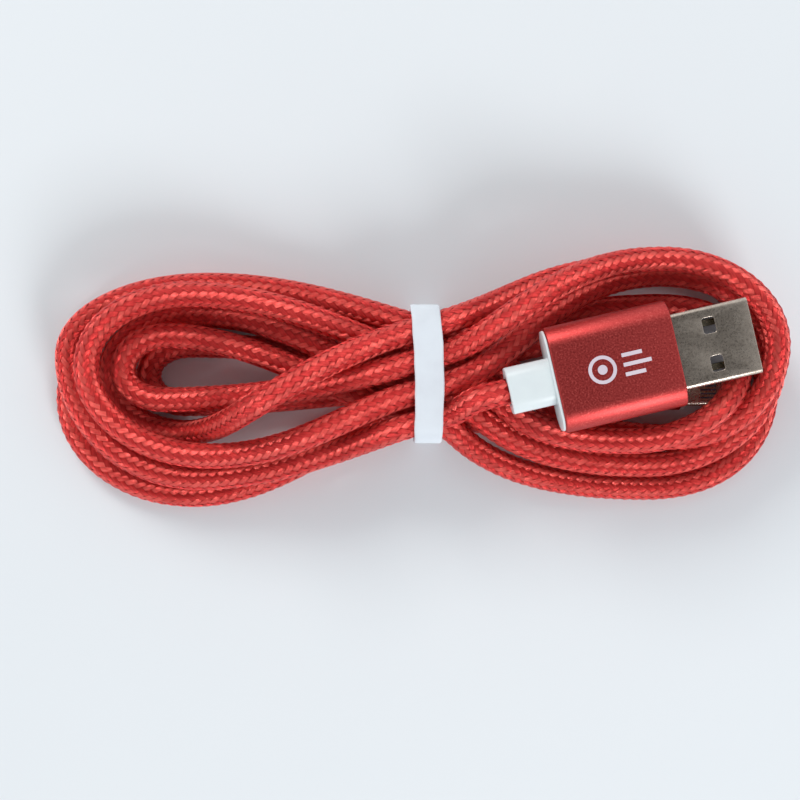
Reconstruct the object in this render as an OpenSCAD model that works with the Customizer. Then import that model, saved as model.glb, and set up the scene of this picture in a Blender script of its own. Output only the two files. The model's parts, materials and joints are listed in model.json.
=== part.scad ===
// Braided charging cable, folded into a figure-eight hank and held by an elastic tie.
// X runs along the hank, +Z is up, and the hank lies on z = 0.

/* [Cord] */
// Diameter over the braid
cord_d = 4; // [3.6:0.1:4.1]
// Diameter of the inner jacket under the braid
jacket_d = 3.2; // [2.8:0.1:3.3]
// Diameter of one insulated wire
wire_d = 0.9; // [0.7:0.05:1]
// Rings along each quarter of a half loop
quarter_rings = 4; // [3:1:6]

/* [Tie] */
// Width of the elastic tie along the hank
tie_w = 4.5; // [3:0.1:6]
// Wall of the elastic tie
tie_wall = 0.9; // [0.6:0.05:1]
// Corner radius inside the tie
tie_r = 2.2; // [1.5:0.1:2.3]

/* [Hank] */
// Middle of the waist along X
waist_x = 0.8; // [0:0.1:1.5]
// Middle of the waist along Y
waist_y = 0.4; // [0:0.1:0.8]
// Half length of the straight runs through the tie
waist_half = 3.4; // [3:0.1:3.6]
// Step between cords side by side in the waist
waist_step = 4.95; // [4.9:0.05:5]
// Step between the three layers of the waist
layer_step = 4.95; // [4.9:0.05:5]
// Sideways slope of the crossing runs in the waist
waist_slope = 0.29; // [0.25:0.01:0.3]

/* [USB plug] */
// Turn of the plug about the vertical
usb_turn = 13; // [10:0.5:15]
// Height of the plug's axis
usb_z = 16; // [15.8:0.1:16.5]
// Width of the aluminium sleeve
usb_body_w = 16.8; // [15.6:0.1:18]
// Thickness of the aluminium sleeve
usb_body_t = 8; // [7.6:0.1:8.2]
// Length of the aluminium sleeve
usb_body_l = 19.3; // [18:0.1:21]
// Side radius of the aluminium sleeve
usb_body_r = 3.4; // [2.4:0.1:3.6]
// Wall of the aluminium sleeve
usb_body_wall = 0.8; // [0.6:0.05:1]
// Length of the white collar
usb_collar_l = 6.9; // [5:0.1:8]
// Width of the white collar
usb_collar_w = 7.4; // [6.6:0.1:8]
// Thickness of the white collar
usb_collar_t = 6; // [5.6:0.1:6.2]
// White rim that shows behind the sleeve
usb_rim = 0.4; // [0.2:0.1:0.6]
// Width of the metal shell
usb_shell_w = 12; // [11.9:0.05:12.1]
// Height of the metal shell
usb_shell_t = 4.5; // [4.4:0.05:4.6]
// Length of shell that stands out of the sleeve
usb_shell_out = 12.4; // [11.75:0.05:12.6]
// Length of shell held in the moulding
usb_shell_in = 6.4; // [5:0.1:7]
// Sheet thickness of the shell
usb_sheet = 0.3; // [0.25:0.01:0.35]
// Latch window along the plug
window_l = 2; // [1.8:0.1:2.4]
// Latch window across the plug
window_w = 2.5; // [2.2:0.1:2.7]
// Latch window's centre from the plug's axis
window_y = 3; // [2.8:0.1:3.2]
// Latch window's centre back from the tip
window_back = 6.6; // [5.5:0.1:7]
// Width of one spring contact
usb_contact_w = 1; // [0.8:0.05:1.1]

/* [Tab plug] */
// Plug's rear end along X
tab_x = 21; // [20.5:0.1:21.5]
// Plug's axis along Y
tab_y = -1.4; // [-1.8:0.1:-1]
// Width of the aluminium sleeve
tab_body_w = 8; // [7.8:0.1:8.4]
// Thickness of the aluminium sleeve
tab_body_t = 5.4; // [5.2:0.1:5.6]
// Length of the aluminium sleeve
tab_body_l = 17; // [16:0.1:17.5]
// Side radius of the aluminium sleeve
tab_body_r = 2.1; // [1.6:0.1:2.3]
// Wall of the aluminium sleeve
tab_body_wall = 0.5; // [0.4:0.05:0.6]
// Length of the white collar
tab_collar_l = 5; // [4:0.1:6]
// Width of the white collar
tab_collar_w = 5.8; // [5.6:0.1:6.2]
// Thickness of the white collar
tab_collar_t = 5.2; // [5:0.1:5.2]
// White lip that shows in front of the sleeve
tab_lip = 0.8; // [0.5:0.1:1]
// Width of the flat contact tab
tab_w = 6.7; // [6.6:0.05:6.8]
// Thickness of the flat contact tab
tab_t = 1.5; // [1.4:0.05:1.6]
// Length of tab that stands out of the lip
tab_out = 6.65; // [6.4:0.05:6.8]
// Length of tab held in the moulding
tab_in = 4; // [3:0.1:5]
// Number of contacts on each face of the tab
tab_contacts_n = 8; // [6:1:8]
// Step between the tab's contacts
tab_pitch = 0.65; // [0.6:0.01:0.66]
// Length of the tab's contact field
tab_field_l = 2.6; // [2.2:0.1:3]

/* [Fits] */
// Clearance of a piece seated in another
fit = 0.05; // [0.03:0.01:0.1]

/* [Hidden] */

braid_red = "#c8342f";
body_red = "#a8282c";
white = "#e8eef0";
steel = "#b4b2a8";
gold = "#c9a24a";
tin = "#b9bcc0";
dark = "#2b2b30";
board_green = "#1f6b3a";

cord_sides = 6;
cord_flat = cord_d / 10;             // flat left where the cord lies on the table
low = cord_d / 2 - cord_flat;        // axis height of a cord that lies on the table
layer_z = [tie_wall + cord_d / 2 + fit, tie_wall + cord_d / 2 + fit + layer_step,
           tie_wall + cord_d / 2 + fit + 2 * layer_step];
layer_slope = [0, -waist_slope, waist_slope];
waist_pull = 0.25;                   // how long the cord's ends keep their direction
shift = [0.45, 0.45, 0];              // puts the hank's box on the origin

// Half loops in the order in which the cord runs through them. Each row has the side, then
// the layer and slot of the waist where its upper run starts and its lower run ends, then the
// top, the reach and the bottom of the loop in X and Y, the seven heights from the upper run
// round to the lower one, how full both runs are, how long both keep their direction after the
// waist, and how full the round end is. A row with up = 1 is entered from its upper run.
left = -1;
right = 1;
loops = [
  // side, up, upper slot, lower slot, top, reach, bottom,
  // heights, run fullness, waist pulls, bend fullness
  [left, 0, [1, 0], [2, 3], [-34.6, 15], [-57.7, 3.5], [-36.2, -16.5],
   [7, 6.9, 6.9, 6.9, 6.3, 5.9, 7.2], [0.42, 0.42], [0.25, 0.2], 0.56],
  [right, 0, [2, 1], [1, 0], [38.4, 18.7], [56.9, 5], [41, -9.8],
   [17, 11.7, 11.6, 11.6, 10.4, 8.1, 7.2], [0.5, 0.68], [0.24, 0.42], 0.56],
  [left, 0, [1, 3], [2, 1], [-41.5, 6.8], [-48.8, 1.2], [-42, -3.7],
   [6.4, 6.6, 6.6, 6.6, 6.6, 6.6, 10.6], [0.36, 0.42], [0.25, 0.25], 0.56],
  [right, 0, [2, 0], [1, 3], [37.6, 18.6], [57.9, -1], [37.6, -18.4],
   [5.6, low, low, low, low, low, 4.4], [0.5, 0.8], [0.28, 0.06], 0.62],
  [left, 0, [1, 2], [2, 0], [-37, 10.4], [-51.9, 0.5], [-39, -9.1],
   [6.5, 3.1, 2.3, low, low, 4.2, 18.4], [0.42, 0.3], [0.3, 0.5], 0.56],
  [right, 0, [2, 2], [1, 2], [39.5, 16.8], [57.8, 3], [36.8, -14.4],
   [11, 6.8, 6.8, 6.6, 6, 5, 6.8], [0.5, 0.74], [0.34, 0.18], 0.56],
  [left, 0, [1, 1], [2, 2], [-37, 13.2], [-53.8, 1.5], [-33.7, -12.8],
   [10.8, 11.4, 11.4, 10.5, 9.4, 9.5, 13.4], [0.42, 0.42], [0.2, 0.3], 0.56],
  [right, 0, [0, 0], [1, 1], [39, 11.6], [51.9, 5], [33, -10.3],
   [4.5, 6.2, 6.8, 8.2, 13.8, 12.4, 9.4], [0.42, 0.76], [0.25, 0.38], 0.56],
  [left, 1, [0, 0], [0, 3], [-37, 15.4], [-58.8, -3.5], [-37.8, -19.6],
   [2, low, low, low, low, low, low], [0.42, 0.42], [0.25, 0.25], 0.56],
  [right, 0, [0, 1], [0, 3], [40, 8.2], [53.2, -1.2], [40, -10.2],
   [low, low, low, low, low, low, low], [0.42, 0.42], [0.25, 0.4], 0.75],
  [left, 1, [0, 1], [0, 2], [-38.5, 5.4], [-45.5, 0.4], [-39.5, -4.4],
   [low, low, low, low, low, low, low], [0.42, 0.42], [0.25, 0.25], 0.56]
];

function slot_y(k) = waist_y + (1.5 - k) * waist_step;
function slot_point(side, at) =
  [waist_x + side * waist_half, slot_y(at[1]) + layer_slope[at[0]] * side * waist_half];
function bezier(a, b, c, d, t) =
  pow(1 - t, 3) * a + 3 * pow(1 - t, 2) * t * b + 3 * (1 - t) * t * t * c + pow(t, 3) * d;
function quarter_steps(n, last) = [for (i = [0 : last ? n : n - 1]) i / n];

// A run from the waist out to the top or the bottom of a loop
function run(p, slope, q, side, full, pull, steps) =
  let (d = abs(q[0] - p[0]))
  [for (t = steps) bezier(p, p + side * d * pull * [1, slope], q - [side * d * full, 0], q, t)];
// A quarter of the round end, from its widest place a to its farthest place b
function round_end(a, b, full, steps) =
  [for (t = steps) bezier(a, a + [(b[0] - a[0]) * full, 0], b + [0, (a[1] - b[1]) * full], b, t)];
function reversed(v) = [for (i = [len(v) - 1 : -1 : 0]) v[i]];

// Heights between stations, without overshoot
function station_slope(h, i) =
  i == 0 || i == len(h) - 1 ? 0
  : let (a = h[i] - h[i - 1], b = h[i + 1] - h[i]) a * b <= 0 ? 0 : 2 * a * b / (a + b);
function height_at(h, u) =
  let (i = min(floor(u * (len(h) - 1)), len(h) - 2), f = u * (len(h) - 1) - i,
       m = station_slope(h, i), n = station_slope(h, i + 1))
  (2 * pow(f, 3) - 3 * f * f + 1) * h[i] + (pow(f, 3) - 2 * f * f + f) * m
  + (3 * f * f - 2 * pow(f, 3)) * h[i + 1] + (pow(f, 3) - f * f) * n;

function half_loop(row, n) =
  let (side = row[0], p = slot_point(side, row[2]), q = slot_point(side, row[3]),
       top = row[4], reach = row[5], bottom = row[6],
       flat = concat(
         run(p, layer_slope[row[2][0]], top, side, row[8][0], row[9][0], quarter_steps(n, false)),
         round_end(top, reach, row[10], quarter_steps(n, false)),
         reversed(round_end(bottom, reach, row[10], [for (i = [1 : n]) i / n])),
         reversed(run(q, layer_slope[row[3][0]], bottom, side, row[8][1], row[9][1],
                      quarter_steps(n, true)))),
       stations = concat([layer_z[row[2][0]]], row[7], [layer_z[row[3][0]]]),
       path = [for (i = [0 : len(flat) - 1])
                 [flat[i][0], flat[i][1], height_at(stations, i / (len(flat) - 1))]])
  row[1] == 1 ? path : reversed(path);

// The cord's two ends, from the waist to the plugs
usb_at = [13.5, -2.4, usb_z];
usb_dir = [cos(usb_turn), sin(usb_turn), 0];
tab_at = [tab_x, tab_y, tab_body_t / 2];
tab_dir = [1, 0, 0];
usb_slot = [2, 3];
tab_slot = [0, 2];
function end_run(at, slot, dir, n) =
  let (flat = slot_point(right, slot), p = [flat[0], flat[1], layer_z[slot[0]]],
       d = norm(at - p), straight = at - cord_d * dir)
  concat([for (i = [0 : n - 1]) bezier(p, p + d * waist_pull * [1, layer_slope[slot[0]], 0],
                                       straight - d * 0.2 * dir, straight, i / n)],
         [straight, at]);

function cord_route(n) =
  [for (p = concat(reversed(end_run(usb_at, usb_slot, usb_dir, n)),
                   [for (row = loops) each half_loop(row, n)],
                   end_run(tab_at, tab_slot, tab_dir, n))) p + shift];

function unit(v) = v / norm(v);
// One ring of a round run: square to it, and never below the table
function ring(route, i, d, sides, first, last) =
  let (before = route[max(i - 1, 0)], after = route[min(i + 1, len(route) - 1)],
       along = i == 0 ? first : i == len(route) - 1 ? last : unit(after - before),
       across = unit(cross([0, 0, 1], along)), up = cross(along, across))
  [for (k = [0 : sides - 1])
     let (a = 360 * (k + 0.5) / sides + 90,
          q = route[i] + d / 2 * (cos(a) * across + sin(a) * up))
     [q[0], q[1], max(q[2], 0)]];
module swept(route, d, sides, first, last) {
  end = len(route) - 1;
  polyhedron(
    points = [for (i = [0 : end]) each ring(route, i, d, sides, first, last)],
    faces = concat(
      [for (i = [0 : end - 1], k = [0 : sides - 1])
         let (a = i * sides + k, b = i * sides + (k + 1) % sides)
         each [[a, a + sides, b], [b, a + sides, b + sides]]],
      [for (k = [1 : sides - 2]) [0, k, k + 1]],
      [for (k = [1 : sides - 2]) [end * sides, end * sides + k + 1, end * sides + k]]));
}

// What the source measures on the cord: its length and its least gap to itself
function run_length(v) =
  let (d = [for (i = [1 : len(v) - 1]) norm(v[i] - v[i - 1])])
  [for (i = 0, s = 0; i <= len(d); s = s + (i < len(d) ? d[i] : 0), i = i + 1) s];
function least_gap(v, s) =
  min([for (i = [0 : len(v) - 1])
         let (near = [for (j = [i + 1 : 1 : len(v) - 1]) if (s[j] - s[i] > 2.6 * cord_d)
                        norm(v[j] - v[i])])
         len(near) > 0 ? min(near) : 1000]) - cord_d;

module cable() {
  measured = cord_route(8);
  lengths = run_length(measured);
  echo(cord_length = lengths[len(lengths) - 1], least_gap = least_gap(measured, lengths));
  color(braid_red) swept(cord_route(quarter_rings), cord_d, cord_sides, -usb_dir, tab_dir);
}

// A rounded rectangle across a plug, wide along Y and thick along Z
module rounded(w, t, r) {
  square([w - 2 * r, t], center = true);
  square([w, t - 2 * r], center = true);
  for (y = [-1, 1], z = [-1, 1]) translate([y * (w / 2 - r), z * (t / 2 - r)]) circle(r, $fn = 48);
}
// A bar along the plug, from x = a to x = b, with that section
module bar(a, b, w, t, r) {
  translate([a, 0, 0]) rotate([90, 0, 90]) linear_extrude(b - a) rounded(w, t, r);
}
module box(a, b, w, z0, z1, y = 0) {
  translate([a, y - w / 2, z0]) cube([b - a, w, z1 - z0]);
}
module rod(a, b, d) {
  translate([a, 0, 0]) rotate([0, 90, 0]) cylinder(h = b - a, d = d, $fn = 48);
}
// A wire through given points, whose ends run along the plug
module wire(points) {
  translate([0, 0, -9])
    swept([for (p = points) p + [0, 0, 9]], wire_d, 8, [1, 0, 0], [1, 0, 0]);
}
module at_usb() { translate(usb_at + shift) rotate([0, 0, usb_turn]) children(); }
module at_tab() { translate(tab_at + shift) children(); }

/* Tie */
tie_in_w = 3 * waist_step + cord_d + waist_slope * tie_w + 2 * fit;
tie_in_t = 2 * layer_step + cord_d + 2 * fit;
module tie_band() {
  color(white)
    translate([waist_x - tie_w / 2, waist_y, tie_wall + tie_in_t / 2] + shift)
      rotate([90, 0, 90])
        linear_extrude(tie_w)
          difference() {
            rounded(tie_in_w + 2 * tie_wall, tie_in_t + 2 * tie_wall, tie_r + tie_wall);
            rounded(tie_in_w, tie_in_t, tie_r);
          }
}

/* USB plug */
usb_rear = usb_collar_l + usb_rim;                // rear end of the sleeve
usb_front = usb_rear + usb_body_l;                // front end of the sleeve
usb_tip = usb_front + usb_shell_out;
usb_seat = usb_front - usb_shell_in;              // rear end of the shell
usb_core_w = usb_body_w - 2 * usb_body_wall - 2 * fit;
usb_core_t = usb_body_t - 2 * usb_body_wall - 2 * fit;
usb_core_r = usb_body_r - usb_body_wall - fit;
usb_recess = 0.3;                                 // moulding's face behind the sleeve's edge
usb_room = usb_collar_l + 3.5;                    // where the wires' room starts
usb_room_w = usb_shell_w - 1.2;
usb_room_t = usb_core_t - 1.6;
mouth_l = 1.5;                                    // depth of the mouth that takes the braid
mouth_d = cord_d + 0.3;

module usb_sleeve() {
  color(body_red) at_usb()
    difference() {
      bar(usb_rear, usb_front, usb_body_w, usb_body_t, usb_body_r);
      bar(usb_rear - 1, usb_front + 1, usb_body_w - 2 * usb_body_wall, usb_body_t - 2 * usb_body_wall,
          usb_body_r - usb_body_wall);
    }
}

module usb_moulding() {
  color(white) at_usb()
    difference() {
      union() {
        bar(0, usb_collar_l, usb_collar_w, usb_collar_t, usb_collar_t * 0.36);
        bar(usb_collar_l, usb_front - usb_recess, usb_core_w, usb_core_t, usb_core_r);
        bar(usb_collar_l, usb_rear - fit, usb_body_w - 0.8, usb_body_t - 0.8, usb_body_r - 0.4);
      }
      rod(-1, mouth_l, mouth_d);
      rod(-1, usb_room + 1, jacket_d + 2 * fit);
      box(usb_room, usb_seat + 1, usb_room_w, -usb_room_t / 2, usb_room_t / 2);
      bar(usb_seat, usb_front + 1, usb_shell_w + 2 * fit, usb_shell_t + 2 * fit, 0.5);
    }
}

module usb_shell() {
  seam = 0.06;
  color(steel) at_usb()
    difference() {
      bar(usb_seat, usb_tip, usb_shell_w, usb_shell_t, 0.45);
      bar(usb_seat - 1, usb_tip + 1, usb_shell_w - 2 * usb_sheet, usb_shell_t - 2 * usb_sheet, 0.2);
      for (y = [-window_y, window_y])
        box(usb_tip - window_back - window_l / 2, usb_tip - window_back + window_l / 2, window_w,
            -usb_shell_t, usb_shell_t, y);
      box(usb_seat - 1, usb_tip + 1, seam, -usb_shell_t, -usb_shell_t / 2 + 2 * usb_sheet);
    }
}

tongue_t = 1.85;
tongue_z = -usb_shell_t / 2 + usb_sheet + fit;    // underside of the tongue
tongue_w = usb_shell_w - 2 * usb_sheet - 2 * fit;
tongue_top = tongue_z + tongue_t;
tongue_front = usb_tip - 0.8;
contact_t = 0.25;
contact_groove = 0.2;                             // how deep the contacts lie in the tongue
usb_tail = 2.2;                                   // length of the solder tails behind the shell
power_back = 1.2;                                 // outer contacts start this far behind the tongue
data_back = 2.2;
// Contacts across the tongue, with how far each starts behind the tongue's end
usb_pins = [[-3.5, power_back], [-1, data_back], [1, data_back], [3.5, power_back]];

module usb_tongue() {
  color("#dfe3ea") at_usb()
    difference() {
      box(usb_seat, tongue_front, tongue_w, tongue_z, tongue_top);
      for (pin = usb_pins)
        box(usb_seat - 1, tongue_front - pin[1] + fit, usb_contact_w + 2 * fit,
            tongue_top - contact_groove, tongue_top + 1, pin[0]);
    }
}
module usb_contacts() {
  color(gold) at_usb()
    for (pin = usb_pins)
      box(usb_seat - usb_tail, tongue_front - pin[1], usb_contact_w, tongue_top - contact_groove + fit,
          tongue_top - contact_groove + fit + contact_t, pin[0]);
}
block_l = 4.6;
block_top = usb_shell_t / 2 - usb_sheet - fit;
contacts_top = tongue_top - contact_groove + fit + contact_t;
module usb_contact_block() {
  color("#d4d8df") at_usb()
    difference() {
      box(usb_seat, usb_seat + block_l, tongue_w, tongue_top + fit, block_top);
      for (pin = usb_pins)
        box(usb_seat - 1, usb_seat + block_l + 1, usb_contact_w + 2 * fit, tongue_top - 1,
            contacts_top + fit, pin[0]);
    }
}
joint_l = 1.3;
joint_t = 0.55;
joint_x = usb_seat - usb_tail + 0.2;
module usb_solder_joints() {
  color(tin) at_usb()
    for (pin = usb_pins)
      translate([joint_x + joint_l / 2, pin[0], contacts_top + fit / 2])
        intersection() {
          sphere(d = joint_l, $fn = 32);
          translate([-joint_l, -joint_l, 0]) cube([2 * joint_l, 2 * joint_l, joint_t]);
        }
}
jacket_end = usb_room + 1.2;
module usb_inner_jacket() { color("#8d9094") at_usb() rod(0, jacket_end, jacket_d); }
wire_ring = 0.75;                                 // wires' distance from the jacket's axis
module usb_wire(i, y0, z0) {
  end_z = contacts_top + wire_d / 2 + 0.1;
  at_usb() wire([[jacket_end + fit, y0, z0], [jacket_end + 1.3, y0, z0],
                 [joint_x - 1.2, usb_pins[i][0], end_z], [joint_x - fit, usb_pins[i][0], end_z]]);
}
module usb_red_wire() { color("#c01818") usb_wire(0, -wire_ring, -0.55); }
module usb_white_wire() { color("#f2f2f2") usb_wire(1, -wire_ring, 0.55); }
module usb_green_wire() { color("#1e8a3c") usb_wire(2, wire_ring, 0.55); }
module usb_black_wire() { color("#202020") usb_wire(3, wire_ring, -0.55); }

/* Tab plug */
tab_rear = tab_collar_l;
tab_front = tab_rear + tab_body_l;
tab_face = tab_front + tab_lip;                   // front of the white lip
tab_tip = tab_face + tab_out;
tab_seat = tab_face - tab_in;
tab_core_w = tab_body_w - 2 * tab_body_wall - 2 * fit;
tab_core_t = tab_body_t - 2 * tab_body_wall - 2 * fit;
tab_core_r = tab_body_r - tab_body_wall - fit;
tab_room = tab_collar_l + 2.5;
tab_room_w = tab_core_w - 1.2;
tab_room_t = tab_core_t - 1;
field_back = 2.7;                                 // contact field in front of the lip
field_w = tab_contacts_n * tab_pitch;
frame_rim = 0.35;

module tab_sleeve() {
  color(body_red) at_tab()
    difference() {
      bar(tab_rear, tab_front, tab_body_w, tab_body_t, tab_body_r);
      bar(tab_rear - 1, tab_front + 1, tab_body_w - 2 * tab_body_wall, tab_body_t - 2 * tab_body_wall,
          tab_body_r - tab_body_wall);
    }
}
module tab_moulding() {
  color(white) at_tab()
    difference() {
      union() {
        bar(0, tab_collar_l, tab_collar_w, tab_collar_t, tab_collar_t * 0.36);
        bar(tab_collar_l, tab_front, tab_core_w, tab_core_t, tab_core_r);
        bar(tab_front + fit, tab_face, tab_body_w - 0.3, tab_body_t - 0.3, tab_body_r - 0.15);
        bar(tab_front, tab_front + 2 * fit, tab_core_w, tab_core_t, tab_core_r);
      }
      rod(-1, mouth_l, mouth_d);
      rod(-1, tab_room + 1, jacket_d + 2 * fit);
      box(tab_room, tab_seat + 1, tab_room_w, -tab_room_t / 2, tab_room_t / 2);
      bar(tab_seat, tab_face + 1, tab_w + 2 * fit, tab_t + 2 * fit, tab_t * 0.49);
    }
}
module tab_frame() {
  color(steel) at_tab()
    difference() {
      bar(tab_seat, tab_tip, tab_w, tab_t, tab_t * 0.49);
      box(tab_face + field_back, tab_face + field_back + tab_field_l, field_w, -tab_t, tab_t);
      box(tab_seat - 1, tab_face + field_back + 0.5, field_w, -tab_t / 2 + frame_rim,
          tab_t / 2 - frame_rim);
    }
}
contact_in = 0.12;                                // contacts below the frame's faces
tab_contact_w = 0.4;
tab_contact_t = 0.12;
insert_t = tab_t - 2 * contact_in;
module tab_insert() {
  color(dark) at_tab()
    difference() {
      box(tab_face + field_back + fit, tab_face + field_back + tab_field_l - fit, field_w - 2 * fit,
          -insert_t / 2, insert_t / 2);
      for (i = [0 : tab_contacts_n - 1], s = [-1, 1])
        box(tab_face, tab_tip, tab_contact_w + 2 * fit,
            s > 0 ? insert_t / 2 - tab_contact_t : -insert_t / 2 - 1,
            s > 0 ? insert_t / 2 + 1 : -insert_t / 2 + tab_contact_t, tab_pin_y(i));
      box(tab_face, tab_face + field_back + 0.55, field_w, -board_t / 2 - fit, board_t / 2 + fit);
    }
}
function tab_pin_y(i) = (i - (tab_contacts_n - 1) / 2) * tab_pitch;
module tab_contacts() {
  color(gold) at_tab()
    for (i = [0 : tab_contacts_n - 1], s = [-1, 1])
      box(tab_face + field_back + 2 * fit, tab_face + field_back + tab_field_l - 2 * fit,
          tab_contact_w, s > 0 ? insert_t / 2 - tab_contact_t + fit / 2 : -insert_t / 2 - fit / 2,
          s > 0 ? insert_t / 2 + fit / 2 : -insert_t / 2 + tab_contact_t - fit / 2, tab_pin_y(i));
}
board_t = 0.5;
board_rear = tab_room + 4.2;
board_w = field_w - 2 * fit;
module tab_board() {
  color(board_green) at_tab()
    box(board_rear, tab_face + field_back + 0.45, board_w, -board_t / 2, board_t / 2);
}
chip_l = 2;
chip_w = 1.8;
chip_t = 0.6;
module tab_chip() {
  color(dark) at_tab()
    box(tab_seat - chip_l - 0.6, tab_seat - 0.6, chip_w, -board_t / 2 - fit - chip_t,
        -board_t / 2 - fit);
}
tab_pads = [-1.8, -0.6, 0.6, 1.8];
tab_joint_d = 0.9;
tab_joint_x = board_rear + 0.7;
tab_jacket_end = tab_room + 0.6;
module tab_solder_joints() {
  color(tin) at_tab()
    for (y = tab_pads)
      translate([tab_joint_x, y, board_t / 2 + fit / 2])
        intersection() {
          sphere(d = tab_joint_d, $fn = 32);
          translate([-1, -1, 0]) cube([2, 2, 0.4]);
        }
}
module tab_inner_jacket() { color("#8d9094") at_tab() rod(0, tab_jacket_end, jacket_d); }
tab_wire_scale = 0.55;
module tab_wire(i, y0, z0) {
  end_z = board_t / 2 + wire_d / 2 + fit;
  at_tab() wire([[tab_jacket_end + fit, y0, z0], [tab_jacket_end + 0.8, y0, z0],
                 [tab_joint_x - tab_joint_d / 2 - 0.4, tab_pads[i], end_z],
                 [tab_joint_x - tab_joint_d / 2 - fit, tab_pads[i], end_z]]);
}
module tab_red_wire() { color("#c01818") tab_wire(0, -wire_ring, -0.5); }
module tab_white_wire() { color("#f2f2f2") tab_wire(1, -wire_ring + 0.2, 0.6); }
module tab_green_wire() { color("#1e8a3c") tab_wire(2, wire_ring - 0.2, 0.6); }
module tab_black_wire() { color("#202020") tab_wire(3, wire_ring, -0.5); }

cable();
tie_band();
usb_sleeve();
usb_moulding();
usb_shell();
usb_tongue();
usb_contacts();
usb_contact_block();
usb_solder_joints();
usb_inner_jacket();
usb_red_wire();
usb_black_wire();
usb_white_wire();
usb_green_wire();
tab_sleeve();
tab_moulding();
tab_frame();
tab_insert();
tab_contacts();
tab_board();
tab_chip();
tab_solder_joints();
tab_inner_jacket();
tab_red_wire();
tab_black_wire();
tab_white_wire();
tab_green_wire();
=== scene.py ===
import json
import math

import bmesh
import bpy
import numpy as np
from mathutils import Matrix, Vector

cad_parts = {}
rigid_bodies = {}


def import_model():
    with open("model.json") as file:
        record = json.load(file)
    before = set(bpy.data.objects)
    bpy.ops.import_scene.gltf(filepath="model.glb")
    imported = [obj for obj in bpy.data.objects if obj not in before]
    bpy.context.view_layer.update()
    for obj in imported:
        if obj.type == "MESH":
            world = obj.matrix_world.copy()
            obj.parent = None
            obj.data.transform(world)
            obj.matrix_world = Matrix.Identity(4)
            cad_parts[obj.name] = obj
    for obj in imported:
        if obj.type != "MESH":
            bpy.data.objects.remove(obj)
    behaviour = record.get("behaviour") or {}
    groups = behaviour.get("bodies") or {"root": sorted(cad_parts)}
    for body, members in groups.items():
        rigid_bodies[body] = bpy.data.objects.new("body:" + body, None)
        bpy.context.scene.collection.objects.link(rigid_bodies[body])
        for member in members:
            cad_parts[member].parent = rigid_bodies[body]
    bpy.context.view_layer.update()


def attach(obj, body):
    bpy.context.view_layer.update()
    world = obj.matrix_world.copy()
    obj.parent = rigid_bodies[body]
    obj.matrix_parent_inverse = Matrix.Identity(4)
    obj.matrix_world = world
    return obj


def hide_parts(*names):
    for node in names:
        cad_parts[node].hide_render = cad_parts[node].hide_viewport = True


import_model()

MM = 0.001
SHIFT = (0.45, 0.45, 0.0)          # the hank's place in the frame, as in the source


# ------------------------------------------------------------------ shader maths
class Value:
    """One output of a node, on which Python's operators add Math nodes."""

    def __init__(self, nodes, socket):
        self.nodes, self.socket = nodes, socket

    def math(self, operation, *others):
        return self.nodes.node("ShaderNodeMath", {"operation": operation}, self, *others)

    def __add__(self, other):
        return self.math("ADD", other)

    def __mul__(self, other):
        return self.math("MULTIPLY", other)

    def __sub__(self, other):
        return self.math("SUBTRACT", other)

    def __rsub__(self, other):
        return self.nodes.node("ShaderNodeMath", {"operation": "SUBTRACT"}, other, self)

    __radd__, __rmul__ = __add__, __mul__


class Nodes:
    """A node tree, with one method that adds a node of any type."""

    def __init__(self, tree):
        self.tree = tree

    def node(self, kind, settings=None, *inputs, output=0, **named):
        made = self.tree.nodes.new(kind)
        for key, value in (settings or {}).items():
            setattr(made, key, value)
        for place, value in list(enumerate(inputs)) + list(named.items()):
            if isinstance(value, Value):
                self.tree.links.new(value.socket, made.inputs[place])
            elif value is not None:
                made.inputs[place].default_value = value
        return Value(self, made.outputs[output])

    def place(self):
        return self.node("ShaderNodeTexCoord", output="Object")

    def noise(self, scale, detail=3, roughness=0.5):
        return self.node("ShaderNodeTexNoise", {}, Vector=self.place(), Scale=scale,
                         Detail=detail, Roughness=roughness)

    def ramp(self, value, low, high, out_low=0.0, out_high=1.0):
        """The value between low and high, laid out smoothly between two other values."""
        return self.node("ShaderNodeMapRange", {"interpolation_type": "SMOOTHSTEP"},
                         value, low, high, out_low, out_high)

    def mix(self, factor, a, b):
        """One colour into the other; the node's inputs 6 and 7 are its two colours."""
        return self.node("ShaderNodeMix", {"data_type": "RGBA"}, factor, *[None] * 5, a, b,
                         output=2)

    def bump(self, height, distance, strength=1.0):
        return self.node("ShaderNodeBump", {}, Height=height, Distance=distance,
                         Strength=strength)


class Finish(Nodes):
    """A material: a Principled shader, its constants, and the nodes that vary it."""

    def __init__(self, name, **constants):
        self.material = bpy.data.materials.new(name)
        self.material.use_nodes = True
        super().__init__(self.material.node_tree)
        self.shader = self.tree.nodes["Principled BSDF"]
        for key, value in constants.items():
            self.shader.inputs[key.replace("_", " ")].default_value = value

    def set(self, **links):
        for key, value in links.items():
            self.tree.links.new(value.socket, self.shader.inputs[key.replace("_", " ")])
        return self.material


# ------------------------------------------------------------------ camera
CAMERA_AT = (-3.4, -3.75, 220)     # straight above the hank, in millimetres
LENS, SENSOR = 58.7, 36

camera = bpy.data.objects.new("camera", bpy.data.cameras.new("camera"))
bpy.context.scene.collection.objects.link(camera)
camera.location = [(CAMERA_AT[k] + SHIFT[k]) * MM for k in range(3)]
camera.data.lens = LENS
camera.data.sensor_width = SENSOR
camera.data.clip_start = 0.01
camera.data.clip_end = 10
bpy.context.scene.camera = camera


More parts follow.
